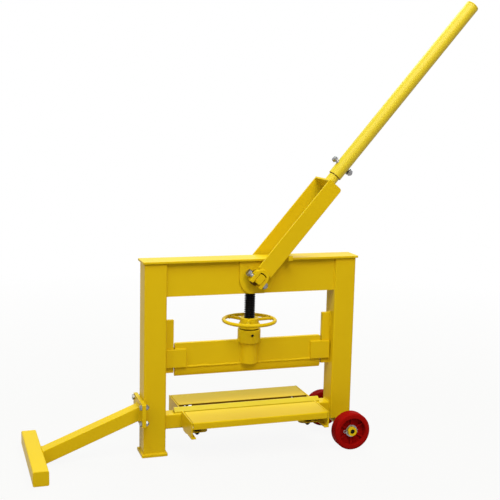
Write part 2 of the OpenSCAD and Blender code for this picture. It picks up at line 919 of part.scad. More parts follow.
module eccentric_shaft() {
    flat_y = bush_y + bush_lip_t;
    color(paint) on_lever() difference() {
        along_y(-shaft_half, shaft_half) circle(d = shaft_d);
        for (side = [front, rear]) {
            on_side(side) for (s = [-1, 1]) along_y(flat_y, shaft_half + cut)
                translate([0, s * shaft_d]) square([2 * shaft_d, 2 * shaft_d - flat_w], center = true);
            saddle_bolt_hole(side);
        }
    }
}

module eccentric_cam() {
    color(bare_steel) translate([shaft_x, 0, shaft_z]) along_y(-cam_w / 2, cam_w / 2) difference() {
        translate(throw * [cos(cam_rest), sin(cam_rest)]) circle(r = cam_r);
        circle(d = shaft_d + 2 * seat_fit);
    }
}

module handle_bore() {
    translate([handle_bolt_u, 0, 0])
        cylinder(d = lever_bolt_d + 2 * bolt_fit, h = handle_d + 2 * cut, center = true);
}

module handle_stub() {
    color(paint) on_lever() difference() {
        translate([fork_l, 0, 0]) rotate([0, 90, 0]) ring(stub_d, stub_d - 2 * stub_wall, stub_l);
        handle_bore();
    }
}

module handle_tube() {
    color(paint) on_lever() difference() {
        translate([handle_start, 0, 0]) rotate([0, 90, 0])
            ring(handle_d, handle_d - 2 * handle_wall, handle_l - handle_cap_t);
        handle_bore();
    }
}

module handle_cap() {
    spigot = 3 * handle_cap_t;
    color(paint) on_lever() translate([handle_end, 0, 0]) rotate([0, -90, 0]) {
        cylinder(d = handle_d, h = handle_cap_t);
        cylinder(d = handle_d - 2 * handle_wall - 2 * seat_fit, h = handle_cap_t + spigot);
    }
}

module lever_bolts() {
    color(zinc) on_lever() {
        for (side = [front, rear])
            translate([-saddle_bolt_drop, side * saddle_mid, saddle_w / 2 + saddle_head_gap])
                lever_bolt(saddle_w + saddle_head_gap);
        translate([handle_bolt_u, 0, handle_d / 2 + handle_head_gap])
            lever_bolt(handle_d + handle_head_gap + handle_nut_gap);
    }
}

module lever_nuts() {
    color(zinc) on_lever() {
        for (side = [front, rear]) translate([-saddle_bolt_drop, side * saddle_mid, -saddle_w / 2])
            rotate([180, 0, 0]) lever_nut();
        translate([handle_bolt_u, 0, -handle_d / 2 - handle_nut_gap]) rotate([180, 0, 0]) lever_nut();
    }
}

// Yoke and screw
module screw_yoke() {
    outer_w = window_w + 2 * yoke_side;
    base_z = window_z - yoke_base;
    color(bare_steel) difference() {
        along_y(-yoke_depth / 2, yoke_depth / 2) difference() {
            translate([-outer_w / 2, base_z]) square([outer_w, window_top + yoke_top - base_z]);
            translate([-window_w / 2, window_z]) square([window_w, window_top - window_z]);
        }
        translate([0, 0, base_z - cut]) cylinder(d = screw_d - 2 * seat_fit, h = yoke_base + 2 * cut);
    }
}

module screw() {
    neck = yoke_base;
    color(black_steel) translate([0, 0, screw_z]) {
        cylinder(d = screw_d, h = screw_l - neck);
        cylinder(d = screw_d - 4 * seat_fit, h = screw_l);
    }
}

// Upper blade carriage
module upper_blade() {
    color(paint) along_x(-blade_l / 2, blade_l / 2) translate([0, blade_edge_z]) polygon([
        [-edge_w / 2, 0],
        [edge_w / 2, 0],
        [blade_t / 2, bevel_h],
        [blade_t / 2, strip_h],
        [-blade_t / 2, strip_h],
        [-blade_t / 2, bevel_h]
    ]);
}

module blade_holder() {
    sleeve_side = sleeve_d / 2 + seat_fit;
    collar_side = collar_d / 2 + seat_fit;
    notch_z = collar_z - seat_fit;
    color(paint) for (end = [left, right]) at_end(end) along_y(-blade_t / 2, blade_t / 2) {
        translate([sleeve_side, strip_top]) square([blade_l / 2 - sleeve_side, notch_z - strip_top]);
        translate([collar_side, strip_top]) square([blade_l / 2 - collar_side, holder_h - holder_corner]);
        translate([collar_side, strip_top])
            square([blade_l / 2 - collar_side - holder_corner, holder_h]);
        translate([blade_l / 2 - holder_corner, holder_top - holder_corner]) circle(r = holder_corner);
    }
}

module sleeve() {
    color(paint) translate([0, 0, strip_top]) ring(sleeve_d, sleeve_d - 2 * sleeve_wall, sleeve_h);
}

module grub_spread() {
    for (turn = [30, 150, 270]) rotate([0, 0, turn]) translate([0, 0, grub_z]) rotate([0, 90, 0]) children();
}

module collar() {
    color(paint) difference() {
        translate([0, 0, collar_z]) ring(collar_d, nut_spigot_d + 2 * run_fit, collar_h);
        grub_spread() cylinder(d = grub_d + 2 * seat_fit, h = collar_d);
    }
}

module grub_screws() {
    color(black_steel) grub_spread() translate([0, 0, grub_tip_r]) cylinder(d = grub_d, h = grub_tail_r - grub_tip_r);
}

module guide_lugs(end) {
    lug_x = blade_l / 2 - lug_overlap;
    color(paint) at_end(end) both_sides() translate([lug_x, blade_t / 2, lug_z])
        cube([inner_x - lug_end_gap - lug_x, lug_t, lug_h]);
}

module left_guide_lugs() {
    guide_lugs(left);
}

module right_guide_lugs() {
    guide_lugs(right);
}

// Handwheel and its nut
module handwheel_rim() {
    color(paint) translate([0, 0, rim_z]) rotate_extrude() translate([rim_r, 0]) circle(d = rim_bar_d);
}

module handwheel_spokes() {
    spoke_l = rim_r - rim_bar_d / 2 - hub_d / 2 - 2 * seat_fit;
    color(paint) for (turn = [0, 120, 240]) rotate([0, 0, turn + spoke_turn])
        translate([hub_d / 2, 0, rim_z]) rotate([0, 90, 0]) cylinder(d = spoke_d, h = spoke_l);
}

module handwheel_hub() {
    color(paint) translate([0, 0, hub_z]) ring(hub_d, nut_neck_d + 2 * seat_fit, hub_h);
}

module screw_nut() {
    groove_h = grub_d + 2 * slide_fit;
    color(paint) difference() {
        union() {
            translate([0, 0, nut_z]) cylinder(d = nut_spigot_d, h = nut_spigot_l);
            translate([0, 0, nut_flange_z]) cylinder(d = nut_shoulder_d, h = nut_shoulder_h);
            translate([0, 0, nut_flange_z + nut_shoulder_h])
                cylinder(d = nut_flange_d, h = nut_flange_h - nut_shoulder_h);
            translate([0, 0, hub_z]) cylinder(d = nut_neck_d, h = hub_h);
        }
        translate([0, 0, nut_z - cut]) cylinder(d = nut_bore_d, h = hub_top - nut_z + 2 * cut);
        translate([0, 0, grub_z - groove_h / 2]) ring(nut_spigot_d + cut, 2 * groove_r, groove_h);
    }
}

// Tables and their springs
module table_profile() {
    difference() {
        union() {
            translate([table_in, table_under]) square([table_reach - table_in - sheet_t, sheet_t]);
            translate([table_reach - sheet_t, table_top - lip_h]) square([sheet_t, lip_h - sheet_t]);
            translate([table_reach - sheet_t, table_under]) circle(r = sheet_t);
            translate([table_in, table_top - inner_lip_h]) square([sheet_t, inner_lip_h]);
        }
        translate([table_in + sheet_t, table_under - 2 * sheet_t])
            square([table_reach - table_in - 2 * sheet_t, 2 * sheet_t]);
    }
}

module table(side) {
    notch_h = inner_lip_h - sheet_t;
    color(paint) on_side(side) difference() {
        along_x(-table_x, table_x) table_profile();
        for (notch = [[left_notch_x, left_notch_w], [right_notch_x, right_notch_w]])
            translate([notch[0] - notch[1] / 2, table_in - cut, table_under - notch_h - cut])
                cube([notch[1], sheet_t + 2 * cut, notch_h + cut]);
    }
}

module front_table() {
    table(front);
}

module rear_table() {
    table(rear);
}

module table_bolts(side) {
    color(black_steel) on_side(side) for (end = [left, right]) translate([end * table_bolt_x, table_bolt_y, 0]) {
        translate([0, 0, table_bolt_end]) cylinder(d = small_bolt_d, h = table_under - table_bolt_end);
        translate([0, 0, table_nut_z]) small_nut();
    }
}

module front_table_bolts() {
    table_bolts(front);
}

module rear_table_bolts() {
    table_bolts(rear);
}

module spring() {
    sides = [for (i = [0 : spring_rings - 1], k = [0 : spring_sides - 1]) each [
        [wire_index(i, k), wire_index(i + 1, k + 1), wire_index(i, k + 1)],
        [wire_index(i, k), wire_index(i + 1, k), wire_index(i + 1, k + 1)]
    ]];
    ends = [for (k = [1 : spring_sides - 2]) each [
        [wire_index(0, 0), wire_index(0, k), wire_index(0, k + 1)],
        [wire_index(spring_rings, 0), wire_index(spring_rings, k + 1), wire_index(spring_rings, k)]
    ]];
    polyhedron(
        points = [for (i = [0 : spring_rings], k = [0 : spring_sides - 1]) wire_point(i, k)],
        faces = concat(sides, ends)
    );
}

module table_springs(side) {
    color(black_steel) on_side(side) for (end = [left, right])
        translate([end * table_bolt_x, table_bolt_y, arm_z]) spring();
}

module front_table_springs() {
    table_springs(front);
}

module rear_table_springs() {
    table_springs(rear);
}

// Each node is drawn alone or with all the others
place() left_post();
place() right_post();
place() left_foot_plate();
place() front_beam_plate();
place() rear_beam_plate();
place() cap_plate();
place() front_bearing_plate();
place() rear_bearing_plate();
place() shaft_bushes();
place() lever_stops();
place() left_guide_bar();
place() right_guide_bar();
place() lower_beam();
place() lower_blade();
place() left_table_arms();
place() right_table_arms();
place() spring_seats();
place() post_flange();
place() leg_flange();
place() leg_tube();
place() foot_bar();
place() foot_bar_caps();
place() flange_bolts();
place() flange_nuts();
place() axle();
place() axle_washers();
place() split_pins();
place() front_table_springs();
place() rear_table_springs();
place() front_fork_arm();
place() rear_fork_arm();
place() fork_end_plate();
place() handle_stub();
place() handle_tube();
place() handle_cap();
place() front_saddle();
place() rear_saddle();
place() eccentric_shaft();
place() eccentric_cam();
place() lever_bolts();
place() lever_nuts();
place() screw_yoke();
place() screw();
place() blade_holder();
place() upper_blade();
place() sleeve();
place() collar();
place() left_guide_lugs();
place() right_guide_lugs();
place() grub_screws();
place() handwheel_rim();
place() handwheel_spokes();
place() handwheel_hub();
place() screw_nut();
place() front_table();
place() front_table_bolts();
place() rear_table();
place() rear_table_bolts();
place() front_wheel();
place() rear_wheel();
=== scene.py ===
import json
import math
from collections import namedtuple

import bmesh
import bpy
from mathutils import Matrix, Vector


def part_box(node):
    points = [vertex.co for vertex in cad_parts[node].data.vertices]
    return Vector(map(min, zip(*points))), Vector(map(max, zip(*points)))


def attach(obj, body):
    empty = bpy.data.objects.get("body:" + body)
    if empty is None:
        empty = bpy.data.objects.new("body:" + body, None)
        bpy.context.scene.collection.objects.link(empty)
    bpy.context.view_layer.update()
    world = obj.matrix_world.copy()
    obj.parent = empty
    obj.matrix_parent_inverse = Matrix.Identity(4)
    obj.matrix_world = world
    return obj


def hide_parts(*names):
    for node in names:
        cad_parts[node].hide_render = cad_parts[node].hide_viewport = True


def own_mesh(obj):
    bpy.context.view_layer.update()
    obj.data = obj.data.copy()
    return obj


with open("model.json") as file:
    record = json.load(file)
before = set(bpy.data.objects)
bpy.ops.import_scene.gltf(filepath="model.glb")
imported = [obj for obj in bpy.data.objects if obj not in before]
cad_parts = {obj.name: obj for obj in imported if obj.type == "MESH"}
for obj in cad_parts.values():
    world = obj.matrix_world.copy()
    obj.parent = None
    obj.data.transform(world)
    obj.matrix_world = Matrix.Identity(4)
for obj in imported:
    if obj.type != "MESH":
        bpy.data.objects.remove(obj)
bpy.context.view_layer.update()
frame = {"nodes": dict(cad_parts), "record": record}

MM = 0.001
Box = namedtuple("Box", "x0 y0 z0 x1 y1 z1")

# Lever, in millimetres: AT is how far along it from the shaft
LEVER_ANGLE = math.radians(49.9)
SADDLE_BOLT_AT = -5
SADDLE_HALF = 20
SADDLE_HEAD_GAP = 9.0
CROWN_AT = 6.25
FORK_ARM_IN = 46.0
FORK_ARM_OUT = 52.0
FORK_PLATE_AT = 322
STUB_AT = 328
STUB_R = 15.5
HANDLE_END_AT = 354.3
HANDLE_SHADE_R = 16.4
HANDLE_BOLT_AT = 388.5
HANDLE_R = 19

# Press and handwheel
SCREW_PITCH = 5.0
SCREW_THREAD_DEPTH = 3.6
SPOKES = (8, 128, 248)
SPOKE_R = 4.5

# Stabiliser and tables, with their M8 bolts and studs
SMALL_ROD_D = 8
SMALL_ROD_PITCH = 1.25
SMALL_NUT_H = 6.5
LEG_END_HALF = 18.8
FLANGE_BOLT_Y = 49
FLANGE_BOLT_Z = 22
TABLE_STUD_X = 158.5
TABLE_STUD_Y = 55
TABLE_SIDES = (("front", -1), ("rear", 1))

# Points round a hexagon and round a disc
HEX_STEPS = 48
DISC_STEPS = 36


def box(node):
    """A CAD node's box in millimetres."""
    low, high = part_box(node)
    return Box(*[v / MM for v in (*low, *high)])


screw_box = box("screw")
SCREW_X = (screw_box.x0 + screw_box.x1) / 2
shaft_pos = next(j["pos_m"] for j in frame["record"]["behaviour"]["joints"] if j["name"] == "lever_swing")


def point(x, y, z):
    """A point in metres from millimetres in the machine's frame."""
    return Vector((x, y, z)) * MM


def lever_point(along, y, up):
    """A point on the resting lever: millimetres along it from the shaft and square to it."""
    c, s = math.cos(LEVER_ANGLE), math.sin(LEVER_ANGLE)
    x = shaft_pos[0] / MM + along * c - up * s
    z = shaft_pos[2] / MM + along * s + up * c
    return point(x, y, z)


# Nodes and arithmetic


class Wire:
    """A socket in a node tree that works in Python arithmetic."""

    def __init__(self, tree, socket=None):
        self.tree = tree
        self.socket = socket

    def add(self, kind, settings=None, out=0, inputs=None):
        """Adds a node, with its settings first and then the values or links of its sockets."""
        node = self.tree.nodes.new(kind)
        for name, value in (settings or {}).items():
            setattr(node, name, value)
        for name, value in (inputs or {}).items():
            if isinstance(value, Wire):
                self.tree.links.new(value.socket, node.inputs[name])
            else:
                node.inputs[name].default_value = value
        return Wire(self.tree, node.outputs[out] if len(node.outputs) else None)

    def out(self, name):
        """Another output of the same node."""
        return Wire(self.tree, self.socket.node.outputs[name])

    def math(self, operation, *terms):
        return self.add("ShaderNodeMath", {"operation": operation}, inputs=dict(enumerate(terms)))

    def mix(self, factor, a, b):
        """A colour between a and b."""
        return self.add("ShaderNodeMix", {"data_type": "RGBA"}, 2, {0: factor, 6: a, 7: b})

    def __add__(self, other):
        return self.math("ADD", self, other)

    def __radd__(self, other):
        return self.math("ADD", other, self)

    def __sub__(self, other):
        return self.math("SUBTRACT", self, other)

    def __rsub__(self, other):
        return self.math("SUBTRACT", other, self)

    def __mul__(self, other):
        return self.math("MULTIPLY", self, other)

    def __rmul__(self, other):
        return self.math("MULTIPLY", other, self)

    def __truediv__(self, other):
        return self.math("DIVIDE", self, other)

    def clamp(self):
        return self.add("ShaderNodeClamp", inputs={"Value": self})

    def least(self, other):
        return self.math("MINIMUM", self, other)


# Finishes


def finish(name, build):
    """A material whose nodes a function builds and whose shader it returns."""
    material = bpy.data.materials.new(name)
    material.use_nodes = True
    material.node_tree.nodes.clear()
    net = Wire(material.node_tree)
    net.add("ShaderNodeOutputMaterial", inputs={"Surface": build(net)})
    return material


def noise(net, scale, detail=2.0):
    """Noise on the piece's own coordinates, at so many grains a metre."""
    place = net.add("ShaderNodeTexCoord", out="Object")
    return net.add("ShaderNodeTexNoise", inputs={"Vector": place, "Scale": scale, "Detail": detail})


def bump(net, height, distance, strength=1.0):
    """Small relief for a Normal input, as deep as so many metres."""
    return net.add("ShaderNodeBump", inputs={"Strength": strength, "Distance": distance, "Height": height})


def enamel(net, dark, light, rough, gloss):
    """Sprayed machine enamel: a faint cloud in the colour, orange peel and a few rubbed specks."""
    cloud = noise(net, 7.0, 3.0)
    peel = noise(net, 420.0)
    speck = ((noise(net, 95.0, 4.0) - 0.70) * 9.0).clamp()
    colour = net.mix(cloud, dark, light)
    colour = net.mix(speck * 0.2, colour, (0.50, 0.33, 0.004, 1))
    return net.add("ShaderNodeBsdfPrincipled", inputs={
        "Base Color": colour, "Roughness": rough + 0.10 * cloud + 0.15 * speck, "Specular IOR Level": gloss,
        "Normal": bump(net, peel, 0.000008),
    })


def yellow_paint(net):
    """The satin enamel of the frame, the carriage and the tables."""
    return enamel(net, (0.66, 0.468, 0.006, 1), (0.72, 0.532, 0.009, 1), 0.30, 0.06)


def handle_paint(net):
    """The paler and glossier enamel of the handle, its stub and the lower blade."""
    return enamel(net, (0.615, 0.492, 0.013, 1), (0.675, 0.560, 0.018, 1), 0.40, 0.42)


def zinc_plate(net):
    """Zinc plating with a cloudy passivated film."""
    cloud = noise(net, 160.0, 3.0)
    colour = net.mix(cloud, (0.18, 0.18, 0.195, 1), (0.37, 0.37, 0.385, 1))
    return net.add("ShaderNodeBsdfPrincipled", inputs={
        "Base Color": colour, "Metallic": 1.0, "Roughness": 0.24 + 0.20 * cloud,
        "Normal": bump(net, noise(net, 900.0), 0.00005, 0.4),
    })


def turned_steel(net):
    """Oiled bare steel with a fine grain."""
    cloud = noise(net, 60.0, 3.0)
    colour = net.mix(cloud, (0.30, 0.30, 0.31, 1), (0.46, 0.45, 0.44, 1))
    return net.add("ShaderNodeBsdfPrincipled", inputs={
        "Base Color": colour, "Metallic": 1.0, "Roughness": 0.30 + 0.18 * cloud,
        "Normal": bump(net, noise(net, 1400.0), 0.00004, 0.5),
    })


def black_steel(net):
    """Blackened steel with a film of grease and slightly rubbed places."""
    cloud = noise(net, 210.0, 4.0)
    rubbed = ((cloud - 0.52) * 4.0).clamp()
    colour = net.mix(rubbed, (0.003, 0.003, 0.004, 1), (0.012, 0.011, 0.011, 1))
    return net.add("ShaderNodeBsdfPrincipled", inputs={
        "Base Color": colour, "Specular IOR Level": 0.12, "Roughness": 0.34 + 0.22 * cloud,
        "Normal": bump(net, noise(net, 700.0), 0.00006, 0.5),
    })


def red_wheel(net):
    """Moulded red wheel: a satin skin with a faint flow pattern and scuffs."""
    flow = noise(net, 38.0, 4.0)
    scuff = ((noise(net, 240.0, 5.0) - 0.62) * 6.0).clamp()
    colour = net.mix(flow, (0.27, 0.003, 0.003, 1), (0.36, 0.006, 0.005, 1))
    colour = net.mix(scuff * 0.4, colour, (0.16, 0.004, 0.004, 1))
    return net.add("ShaderNodeBsdfPrincipled", inputs={
        "Base Color": colour, "Specular IOR Level": 0.012, "Roughness": 0.44 + 0.16 * flow + 0.15 * scuff,
        "Normal": bump(net, noise(net, 520.0), 0.0001, 0.5),
    })


def dark_hole(net):
    """Painted shade: a near-black that stands for the deep shade in holes, bores and grooves."""
    cloud = noise(net, 500.0)
    colour = net.mix(cloud, (0.006, 0.005, 0.004, 1), (0.02, 0.016, 0.010, 1))
    return net.add("ShaderNodeBsdfPrincipled", inputs={
        "Base Color": colour, "Specular IOR Level": 0.08, "Roughness": 0.7 + 0.2 * cloud,
    })


def greased_steel(net):
    """Old brown grease on steel, thick in places; the same dark brown is also painted shade in gaps and
    along edges.
    """
    cloud = noise(net, 130.0, 4.0)
    colour = net.mix(cloud, (0.06, 0.028, 0.002, 1), (0.20, 0.105, 0.006, 1))
    return net.add("ShaderNodeBsdfPrincipled", inputs={
        "Base Color": colour, "Specular IOR Level": 0.15, "Roughness": 0.35 + 0.25 * cloud,
        "Normal": bump(net, noise(net, 300.0), 0.0001, 0.5),
    })


PAINT = finish("yellow_paint", yellow_paint)
HANDLE_PAINT = finish("handle_paint", handle_paint)
ZINC = finish("zinc_plate", zinc_plate)
STEEL = finish("turned_steel", turned_steel)
BLACK = finish("black_steel", black_steel)
RED = finish("red_wheel", red_wheel)
# Painted shade for holes, bores and grooves.
PAINTED_SHADE = finish("dark_hole", dark_hole)
# Grease on the bushes, and painted shade on the tables' edges and at the handle's end.
GREASE_AND_SHADE = finish("greased_steel", greased_steel)
SLOT_FINISH = {
    "yellow_paint": PAINT, "zinc": ZINC, "bare_steel": STEEL, "black_steel": BLACK, "red_wheel": RED,
}
# The shaft bushes' brown finish is grease and also painted shade below the shaft's end, between the
# saddle's legs.
NODE_FINISH = {
    "handle_tube": HANDLE_PAINT, "handle_cap": HANDLE_PAINT, "handle_stub": HANDLE_PAINT,
    "lower_blade": HANDLE_PAINT, "shaft_bushes": GREASE_AND_SHADE,
}
node_slot = {s["node"]: s["material_slot"] for s in frame["record"]["subparts"]}
node_body = {n: body for body, nodes in frame["record"]["behaviour"]["bodies"].items() for n in nodes}


# Pieces


def show(name, mesh):
    """An object at the origin, with its place in its mesh."""
    piece = bpy.data.objects.new(name, mesh)
    bpy.context.scene.collection.objects.link(piece)
    return piece


def take(piece, body, slot, *nodes):
    """The piece rides on a body and stands for CAD nodes; the slot is not used."""
    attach(piece, body)
    if nodes:
        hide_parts(*nodes)
    return piece


def painted_shade_edge(node):
    """Where along Y a table's edge beside the lower blade takes painted shade, or nothing."""
    if node not in ("front_table", "rear_table"):
        return None
    size = box(node)
    return size.y1 if node == "front_table" else size.y0


def softened(node, edge):
    """A copy of a CAD node with its sharp edges broken by so many millimetres."""
    mesh = frame["nodes"][node].data.copy()
    work = bmesh.new()
    work.from_mesh(mesh)
    bmesh.ops.remove_doubles(work, verts=work.verts, dist=2e-6)
    bmesh.ops.dissolve_limit(work, angle_limit=math.radians(0.4), verts=work.verts, edges=work.edges)
    edge_y = painted_shade_edge(node)
    for face in work.faces:
        face.smooth = True
        # Painted shade: the table's edge faces beside the lower blade get a second, dark finish for the
        # shade in the slot.
        if edge_y is not None and all(abs(v.co.y / MM - edge_y) < 0.2 for v in face.verts):
            face.material_index = 1
    mesh.materials.clear()
    mesh.materials.append(NODE_FINISH.get(node) or SLOT_FINISH[node_slot[node]])
    if edge_y is not None:
        mesh.materials.append(GREASE_AND_SHADE)
    work.to_mesh(mesh)
    work.free()
    piece = show(node + "_finished", mesh)
    cut = piece.modifiers.new("edges", "BEVEL")
    cut.width = edge * MM
    cut.segments = 2
    cut.limit_method = "ANGLE"
    cut.angle_limit = math.radians(38)
    cut.harden_normals = True
    even = piece.modifiers.new("normals", "WEIGHTED_NORMAL")
    even.keep_sharp = True
    return take(piece, node_body[node], node_slot[node], node)


# Trees for what repeats or follows a path


def new_tree(name, *sizes):
    """A tree with a geometry input and output and named sizes."""
    tree = bpy.data.node_groups.new(name, "GeometryNodeTree")
    tree.interface.new_socket("Geometry", in_out="OUTPUT", socket_type="NodeSocketGeometry")
    tree.interface.new_socket("Geometry", in_out="INPUT", socket_type="NodeSocketGeometry")
    for label, kind in sizes:
        tree.interface.new_socket(label, in_out="INPUT", socket_type="NodeSocket" + kind)
    given = tree.nodes.new("NodeGroupInput")
    return tree, Wire(tree), {s.name: Wire(tree, s) for s in given.outputs if s.name}


def end_tree(net, shape, material):
    """Realises what the tree made, gives it its finish and sends it out."""
    real = net.add("GeometryNodeRealizeInstances", inputs={"Geometry": shape})
    done = net.add("GeometryNodeSetMaterial", inputs={"Geometry": real, "Material": material})
    net.add("NodeGroupOutput", inputs={"Geometry": done})


def grow(name, tree, base, **sizes):
    """Runs a tree on a mesh and keeps the result as a plain mesh."""
    source = show(name + "_source", base)
    run = source.modifiers.new("grow", "NODES")
    run.node_group = tree
    for item in tree.interface.items_tree:
        label = item.name.lower().replace(" ", "_")
        if item.in_out == "INPUT" and label in sizes:
            run[item.identifier] = sizes[label]
    ready = source.evaluated_get(bpy.context.evaluated_depsgraph_get())
    mesh = bpy.data.meshes.new_from_object(ready)
    bpy.data.objects.remove(source)
    mesh.set_sharp_from_angle(angle=math.radians(48))
    return mesh


def path_tree():
    """A round bead or wire along paths, with a ripple and a wobble as a weld has."""
    tree, net, size = new_tree(
        "bead_along_path", ("Radius", "Float"), ("Ripple", "Float"), ("Pitch", "Float"),
        ("Wobble", "Float"), ("Drift", "Float"), ("Step", "Float"), ("Finish", "Material"),
    )
    curve = net.add("GeometryNodeMeshToCurve", inputs={"Mesh": size["Geometry"]})
    curve = net.add("GeometryNodeResampleCurve", {"mode": "LENGTH"}, inputs={
        "Curve": curve, "Length": size["Step"],
    })
    run = net.add("GeometryNodeSplineParameter", out="Length")
    place = net.add("GeometryNodeInputPosition")
    lump = net.add("ShaderNodeTexNoise", inputs={"Vector": place, "Scale": 110.0, "Detail": 1.0}) - 0.5
    stray = net.add("ShaderNodeTexNoise", inputs={"Vector": place, "Scale": 42.0, "Detail": 2.0}) - 0.5
    ripple = net.math("SINE", run / size["Pitch"] * (2 * math.pi))
    radius = size["Radius"] * (1.0 + size["Ripple"] * ripple + size["Wobble"] * lump)
    sway = net.add("ShaderNodeCombineXYZ", inputs={"Z": stray * size["Drift"]})
    curve = net.add("GeometryNodeSetPosition", inputs={"Geometry": curve, "Offset": sway})
    section = net.add("GeometryNodeCurvePrimitiveCircle", inputs={"Resolution": 8, "Radius": 1.0})
    tube = net.add("GeometryNodeCurveToMesh", inputs={
        "Curve": curve, "Profile Curve": section, "Scale": radius, "Fill Caps": True,
    })
    end_tree(net, net.add("GeometryNodeSetShadeSmooth", inputs={"Geometry": tube}), size["Finish"])
    return tree


def thread_tree():
    """A right-hand threaded rod that stands on the ground plane, with chamfered closed ends."""
    tree, net, size = new_tree(
        "threaded_rod", ("Crest", "Float"), ("Depth", "Float"), ("Pitch", "Float"), ("Length", "Float"),
        ("Sides", "Int"), ("Rows", "Int"), ("Finish", "Material"),
    )
    rows = size["Rows"]
    sheet = net.add("GeometryNodeMeshGrid", inputs={
        "Size X": 1.0, "Size Y": 1.0, "Vertices X": size["Sides"] + 1, "Vertices Y": rows,
    })
    place = net.add("ShaderNodeSeparateXYZ", inputs={0: net.add("GeometryNodeInputPosition")})
    turn = place + 0.5
    row = (place.out("Y") + 0.5) * (rows - 1)
    height = ((row - 1) / (rows - 3)).clamp() * size["Length"]
    shut = row.least(rows - 1 - row).clamp()
    phase = net.math("FRACT", height / size["Pitch"] - turn)
    tooth = (net.math("ABSOLUTE", phase - 0.5) * 2.0 - 0.16) / 0.68
    radius = size["Crest"] - size["Depth"] * (1.0 - tooth.clamp())
    radius = radius.least(size["Crest"] - size["Depth"] + height.least(size["Length"] - height)) * shut
    angle = turn * (2 * math.pi)
    spot = net.add("ShaderNodeCombineXYZ", inputs={
        "X": radius * net.math("COSINE", angle), "Y": radius * net.math("SINE", angle), "Z": height,
    })
    rod = net.add("GeometryNodeSetPosition", inputs={"Geometry": sheet, "Position": spot})
    rod = net.add("GeometryNodeMergeByDistance", inputs={"Geometry": rod, "Distance": 2e-6})
    end_tree(net, net.add("GeometryNodeSetShadeSmooth", inputs={"Geometry": rod}), size["Finish"])
    return tree


def spring_tree():
    """A coil spring with closed ends on each point."""
    tree, net, size = new_tree(
        "coil_springs", ("Coil", "Float"), ("Wire", "Float"), ("Turns", "Float"), ("Height", "Float"),
        ("Finish", "Material"),
    )
    coil = net.add("GeometryNodeCurveSpiral", inputs={
        "Resolution": 28, "Rotations": size["Turns"], "Height": size["Height"],
        "Start Radius": size["Coil"], "End Radius": size["Coil"],
    })
    run = net.add("GeometryNodeSplineParameter", out="Factor")
    rise = ((run * size["Turns"] - 0.7) / (size["Turns"] - 1.4)).clamp()
    place = net.add("ShaderNodeSeparateXYZ", inputs={0: net.add("GeometryNodeInputPosition")})
    spot = net.add("ShaderNodeCombineXYZ", inputs={
        "X": place, "Y": place.out("Y"), "Z": size["Wire"] + rise * (size["Height"] - size["Wire"] * 2),
    })
    coil = net.add("GeometryNodeSetPosition", inputs={"Geometry": coil, "Position": spot})
    section = net.add("GeometryNodeCurvePrimitiveCircle", inputs={"Resolution": 10, "Radius": size["Wire"]})
    wire = net.add("GeometryNodeCurveToMesh", inputs={
        "Curve": coil, "Profile Curve": section, "Fill Caps": True,
    })
    wire = net.add("GeometryNodeSetShadeSmooth", inputs={"Geometry": wire})
    copies = net.add("GeometryNodeInstanceOnPoints", inputs={"Points": size["Geometry"], "Instance": wire})
    end_tree(net, copies, size["Finish"])
    return tree


def fastener_tree():
    """A fastener on each point, along the point's axis and turned by chance about it."""
    tree, net, size = new_tree("fasteners", ("Pattern", "Object"), ("Finish", "Material"))
    shape = net.add("GeometryNodeObjectInfo", out="Geometry", inputs={"Object": size["Pattern"]})
    axis = net.add("GeometryNodeInputNamedAttribute", {"data_type": "FLOAT_VECTOR"}, inputs={
        "Name": "axis",
    })
    aim = net.add("FunctionNodeAlignRotationToVector", {"axis": "Z"}, inputs={"Vector": axis})
    chance = net.add("FunctionNodeRandomValue", {"data_type": "FLOAT"}, 1, {
        2: 0.0, 3: 1.05, "Seed": 7,
    })
    spin = net.add("FunctionNodeAxisAngleToRotation", inputs={"Axis": (0, 0, 1), "Angle": chance})
    aim = net.add("FunctionNodeRotateRotation", {"rotation_space": "LOCAL"}, inputs={
        "Rotation": aim, "Rotate By": spin,
    })
    copies = net.add("GeometryNodeInstanceOnPoints", inputs={
        "Points": size["Geometry"], "Instance": shape, "Rotation": aim,
    })
    end_tree(net, copies, size["Finish"])
    return tree


BEAD = path_tree()
THREAD = thread_tree()
SPRING = spring_tree()
FASTENER = fastener_tree()


# Paths


def paths_mesh(paths):
    """Polylines as a mesh of edges. A path whose last point is its first is closed."""
    verts, edges = [], []
    for path in paths:
        closed = (path[0] - path[-1]).length < 1e-6
        points = path[:-1] if closed else path
        first = len(verts)
        verts += points
        edges += [(first + i, first + i + 1) for i in range(len(points) - 1)]
        if closed:
            edges.append((first + len(points) - 1, first))
    mesh = bpy.data.meshes.new("paths")
    mesh.from_pydata(verts, edges, [])
    return mesh


def line(a, b):
    """A straight path between two points in millimetres."""
    return [point(*a), point(*b)]


def ring(centre, axis, radius, steps):
    """A closed circle about an axis, in millimetres."""
    axis = Vector(axis).normalized()
    arm = axis.orthogonal().normalized() * radius
    turns = [math.radians(360 * i / steps) for i in range(steps + 1)]
    return [(Vector(centre) + Matrix.Rotation(t, 3, axis) @ arm) * MM for t in turns]


def lever_ring(along, radius, steps):
    """A closed circle about the lever's own line."""
    turns = [2 * math.pi * i / steps for i in range(steps + 1)]
    return [lever_point(along, radius * math.cos(t), radius * math.sin(t)) for t in turns]


